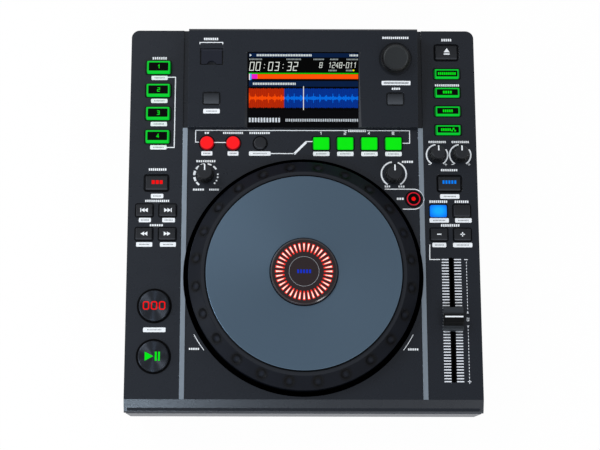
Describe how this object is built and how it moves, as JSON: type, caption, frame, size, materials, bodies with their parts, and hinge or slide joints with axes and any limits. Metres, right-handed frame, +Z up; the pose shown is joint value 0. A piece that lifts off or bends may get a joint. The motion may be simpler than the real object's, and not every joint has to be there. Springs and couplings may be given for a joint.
{
  "type": "tabletop media player",
  "caption": "Tabletop deck for disc jockeys: a sprung set of push buttons, a tilted display deck and a slide fader round a large dimpled jog wheel turning on a hollow post.",
  "frame": {"origin": "on the table, under the middle of the player's overall width and depth", "axes": "+X to the user's right, +Y from the user towards the rear panel, +Z up"},
  "size_m": [0.301, 0.3414, 0.0869],
  "materials": {
    "top_case": "satin charcoal, lightly blue",
    "base_tray": "satin grey paint",
    "rear_panel": "fine black texture",
    "display_housing": "satin charcoal",
    "display_lens": "polished, smoked",
    "display_module": "moulded frame",
    "trim_strips": "satin, anodised blue-grey",
    "jog_hub": "turned",
    "jog_display": "polished, lit ring of bars",
    "circuit_board": "solder mask",
    "potentiometers": "stamped",
    "usb_socket": "stamped",
    "rear_jacks": "moulded, plated barrels",
    "feet": "matte",
    "case_screws": "blackened",
    "jog_ring": "satin black with polished dimples",
    "jog_plate": "fine spun, anodised blue-grey",
    "jog_bearing": "ground",
    "encoder_disc": "printed film disc",
    "shaft_steel": "turned",
    "knob_black": "satin",
    "fader_black": "satin, white centre line",
    "button_black": "satin",
    "button_framed_green": "black cap with a lit green edge",
    "button_lit_green": "lit from inside",
    "button_lit_red": "lit from inside",
    "button_ringed_red": "black cap with a lit red ring",
    "button_lit_blue": "lit from inside",
    "button_spun_metal": "spun, dark anodised"
  },
  "bodies": {
    "player": {"top_case": "top_case", "base_tray": "base_tray", "rear_panel": "rear_panel", "display_housing": "display_housing", "display_lens": "display_lens", "display_module": "display_module", "trim_strips": "trim_strips", "jog_hub": "jog_hub", "jog_display": "jog_display", "main_board": "circuit_board", "control_boards": "circuit_board", "potentiometers": "potentiometers", "usb_socket": "usb_socket", "rear_jacks": "rear_jacks", "feet": "feet", "case_screws": "case_screws"},
    "jog_wheel": {"jog_ring": "jog_ring", "jog_plate": "jog_plate", "jog_bearing": "jog_bearing", "encoder_disc": "encoder_disc"},
    "browse_shaft": {"browse_shaft": "shaft_steel"},
    "browse_knob": {"browse_knob": "knob_black"},
    "jog_adjust_knob": {"jog_adjust_knob": "knob_black"},
    "filter_knob": {"filter_knob": "knob_black"},
    "start_time_knob": {"start_time_knob": "knob_black"},
    "stop_time_knob": {"stop_time_knob": "knob_black"},
    "pitch_fader_cap": {"pitch_fader_cap": "fader_black"},
    "usb_cover": {"usb_cover": "button_black"},
    "power_rocker": {"power_rocker": "button_black"},
    "hot_cue_1": {"hot_cue_1": "button_framed_green"},
    "hot_cue_2": {"hot_cue_2": "button_framed_green"},
    "hot_cue_3": {"hot_cue_3": "button_framed_green"},
    "hot_cue_4": {"hot_cue_4": "button_framed_green"},
    "reverse_button": {"reverse_button": "button_black"},
    "track_prev_button": {"track_prev_button": "button_black"},
    "track_next_button": {"track_next_button": "button_black"},
    "search_back_button": {"search_back_button": "button_black"},
    "search_fwd_button": {"search_fwd_button": "button_black"},
    "cue_button": {"cue_button": "button_spun_metal"},
    "play_button": {"play_button": "button_spun_metal"},
    "eject_button": {"eject_button": "button_black"},
    "settings_button": {"settings_button": "button_framed_green"},
    "usb_button": {"usb_button": "button_framed_green"},
    "midi_button": {"midi_button": "button_framed_green"},
    "link_button": {"link_button": "button_framed_green"},
    "jog_mode_button": {"jog_mode_button": "button_black"},
    "key_lock_button": {"key_lock_button": "button_lit_blue"},
    "tap_button": {"tap_button": "button_black"},
    "pitch_minus_button": {"pitch_minus_button": "button_black"},
    "pitch_plus_button": {"pitch_plus_button": "button_black"},
    "loop_in_button": {"loop_in_button": "button_lit_red"},
    "loop_out_button": {"loop_out_button": "button_lit_red"},
    "reloop_button": {"reloop_button": "button_black"},
    "auto_loop_1": {"auto_loop_1": "button_lit_green"},
    "auto_loop_2": {"auto_loop_2": "button_lit_green"},
    "auto_loop_3": {"auto_loop_3": "button_lit_green"},
    "auto_loop_4": {"auto_loop_4": "button_lit_green"},
    "slip_button": {"slip_button": "button_ringed_red"},
    "memory_button": {"memory_button": "button_black"},
    "back_button": {"back_button": "button_black"}
  },
  "joints": [
    {"name": "jog_spin", "type": "hinge", "parent": "player", "child": "jog_wheel", "pos_m": [0, -0.0549, 0.072], "axis": [0, 0, 1], "continuous": true},
    {"name": "browse_push", "type": "slide", "parent": "player", "child": "browse_shaft", "axis": [0, -0.1817, 0.9834], "range_m": [-0.0005, 0], "stiffness_N_per_m": 600, "springref_m": 0.001},
    {"name": "browse_turn", "type": "hinge", "parent": "browse_shaft", "child": "browse_knob", "pos_m": [0.08, 0.13254, 0.08117], "axis": [0, -0.1817, 0.9834], "continuous": true},
    {"name": "jog_adjust_turn", "type": "hinge", "parent": "player", "child": "jog_adjust_knob", "pos_m": [-0.0844, 0.0334, 0.067], "axis": [0, 0, 1], "range_deg": [-140, 140]},
    {"name": "filter_turn", "type": "hinge", "parent": "player", "child": "filter_knob", "pos_m": [0.0783, 0.0334, 0.067], "axis": [0, 0, 1], "range_deg": [-140, 140]},
    {"name": "start_time_turn", "type": "hinge", "parent": "player", "child": "start_time_knob", "pos_m": [0.1162, 0.0513, 0.067], "axis": [0, 0, 1], "range_deg": [-140, 140]},
    {"name": "stop_time_turn", "type": "hinge", "parent": "player", "child": "stop_time_knob", "pos_m": [0.1362, 0.0513, 0.067], "axis": [0, 0, 1], "range_deg": [-140, 140]},
    {"name": "pitch_slide", "type": "slide", "parent": "player", "child": "pitch_fader_cap", "axis": [0, 1, 0], "range_m": [-0.05, 0.05]},
    {"name": "usb_cover_hinge", "type": "hinge", "parent": "player", "child": "usb_cover", "pos_m": [-0.0793, 0.14109, 0.07756], "axis": [-1, 0, 0], "range_deg": [0, 100]},
    {"name": "power_switch", "type": "hinge", "parent": "player", "child": "power_rocker", "pos_m": [0.0845, 0.1605, 0.03], "axis": [0, 0, 1], "range_deg": [0, 16]},
    {"name": "hot_cue_1_press", "type": "slide", "parent": "player", "child": "hot_cue_1", "axis": [0, 0, 1], "range_m": [-0.001, 0], "stiffness_N_per_m": 300, "springref_m": 0.001},
    {"name": "hot_cue_2_press", "type": "slide", "parent": "player", "child": "hot_cue_2", "axis": [0, 0, 1], "range_m": [-0.001, 0], "stiffness_N_per_m": 300, "springref_m": 0.001},
    {"name": "hot_cue_3_press", "type": "slide", "parent": "player", "child": "hot_cue_3", "axis": [0, 0, 1], "range_m": [-0.001, 0], "stiffness_N_per_m": 300, "springref_m": 0.001},
    {"name": "hot_cue_4_press", "type": "slide", "parent": "player", "child": "hot_cue_4", "axis": [0, 0, 1], "range_m": [-0.001, 0], "stiffness_N_per_m": 300, "springref_m": 0.001},
    {"name": "reverse_press", "type": "slide", "parent": "player", "child": "reverse_button", "axis": [0, 0, 1], "range_m": [-0.001, 0], "stiffness_N_per_m": 300, "springref_m": 0.001},
    {"name": "track_prev_press", "type": "slide", "parent": "player", "child": "track_prev_button", "axis": [0, 0, 1], "range_m": [-0.001, 0], "stiffness_N_per_m": 300, "springref_m": 0.001},
    {"name": "track_next_press", "type": "slide", "parent": "player", "child": "track_next_button", "axis": [0, 0, 1], "range_m": [-0.001, 0], "stiffness_N_per_m": 300, "springref_m": 0.001},
    {"name": "search_back_press", "type": "slide", "parent": "player", "child": "search_back_button", "axis": [0, 0, 1], "range_m": [-0.001, 0], "stiffness_N_per_m": 300, "springref_m": 0.001},
    {"name": "search_fwd_press", "type": "slide", "parent": "player", "child": "search_fwd_button", "axis": [0, 0, 1], "range_m": [-0.001, 0], "stiffness_N_per_m": 300, "springref_m": 0.001},
    {"name": "cue_press", "type": "slide", "parent": "player", "child": "cue_button", "axis": [0, 0, 1], "range_m": [-0.001, 0], "stiffness_N_per_m": 300, "springref_m": 0.001},
    {"name": "play_press", "type": "slide", "parent": "player", "child": "play_button", "axis": [0, 0, 1], "range_m": [-0.001, 0], "stiffness_N_per_m": 300, "springref_m": 0.001},
    {"name": "eject_press", "type": "slide", "parent": "player", "child": "eject_button", "axis": [0, 0, 1], "range_m": [-0.001, 0], "stiffness_N_per_m": 300, "springref_m": 0.001},
    {"name": "settings_press", "type": "slide", "parent": "player", "child": "settings_button", "axis": [0, 0, 1], "range_m": [-0.001, 0], "stiffness_N_per_m": 300, "springref_m": 0.001},
    {"name": "usb_press", "type": "slide", "parent": "player", "child": "usb_button", "axis": [0, 0, 1], "range_m": [-0.001, 0], "stiffness_N_per_m": 300, "springref_m": 0.001},
    {"name": "midi_press", "type": "slide", "parent": "player", "child": "midi_button", "axis": [0, 0, 1], "range_m": [-0.001, 0], "stiffness_N_per_m": 300, "springref_m": 0.001},
    {"name": "link_press", "type": "slide", "parent": "player", "child": "link_button", "axis": [0, 0, 1], "range_m": [-0.001, 0], "stiffness_N_per_m": 300, "springref_m": 0.001},
    {"name": "jog_mode_press", "type": "slide", "parent": "player", "child": "jog_mode_button", "axis": [0, 0, 1], "range_m": [-0.001, 0], "stiffness_N_per_m": 300, "springref_m": 0.001},
    {"name": "key_lock_press", "type": "slide", "parent": "player", "child": "key_lock_button", "axis": [0, 0, 1], "range_m": [-0.001, 0], "stiffness_N_per_m": 300, "springref_m": 0.001},
    {"name": "tap_press", "type": "slide", "parent": "player", "child": "tap_button", "axis": [0, 0, 1], "range_m": [-0.001, 0], "stiffness_N_per_m": 300, "springref_m": 0.001},
    {"name": "pitch_minus_press", "type": "slide", "parent": "player", "child": "pitch_minus_button", "axis": [0, 0, 1], "range_m": [-0.001, 0], "stiffness_N_per_m": 300, "springref_m": 0.001},
    {"name": "pitch_plus_press", "type": "slide", "parent": "player", "child": "pitch_plus_button", "axis": [0, 0, 1], "range_m": [-0.001, 0], "stiffness_N_per_m": 300, "springref_m": 0.001},
    {"name": "loop_in_press", "type": "slide", "parent": "player", "child": "loop_in_button", "axis": [0, 0, 1], "range_m": [-0.001, 0], "stiffness_N_per_m": 300, "springref_m": 0.001},
    {"name": "loop_out_press", "type": "slide", "parent": "player", "child": "loop_out_button", "axis": [0, 0, 1], "range_m": [-0.001, 0], "stiffness_N_per_m": 300, "springref_m": 0.001},
    {"name": "reloop_press", "type": "slide", "parent": "player", "child": "reloop_button", "axis": [0, 0, 1], "range_m": [-0.001, 0], "stiffness_N_per_m": 300, "springref_m": 0.001},
    {"name": "auto_loop_1_press", "type": "slide", "parent": "player", "child": "auto_loop_1", "axis": [0, 0, 1], "range_m": [-0.001, 0], "stiffness_N_per_m": 300, "springref_m": 0.001},
    {"name": "auto_loop_2_press", "type": "slide", "parent": "player", "child": "auto_loop_2", "axis": [0, 0, 1], "range_m": [-0.001, 0], "stiffness_N_per_m": 300, "springref_m": 0.001},
    {"name": "auto_loop_3_press", "type": "slide", "parent": "player", "child": "auto_loop_3", "axis": [0, 0, 1], "range_m": [-0.001, 0], "stiffness_N_per_m": 300, "springref_m": 0.001},
    {"name": "auto_loop_4_press", "type": "slide", "parent": "player", "child": "auto_loop_4", "axis": [0, 0, 1], "range_m": [-0.001, 0], "stiffness_N_per_m": 300, "springref_m": 0.001},
    {"name": "slip_press", "type": "slide", "parent": "player", "child": "slip_button", "axis": [0, 0, 1], "range_m": [-0.001, 0], "stiffness_N_per_m": 300, "springref_m": 0.001},
    {"name": "memory_press", "type": "slide", "parent": "player", "child": "memory_button", "axis": [0, -0.1817, 0.9834], "range_m": [-0.001, 0], "stiffness_N_per_m": 300, "springref_m": 0.001},
    {"name": "back_press", "type": "slide", "parent": "player", "child": "back_button", "axis": [0, -0.1817, 0.9834], "range_m": [-0.001, 0], "stiffness_N_per_m": 300, "springref_m": 0.001}
  ]
}
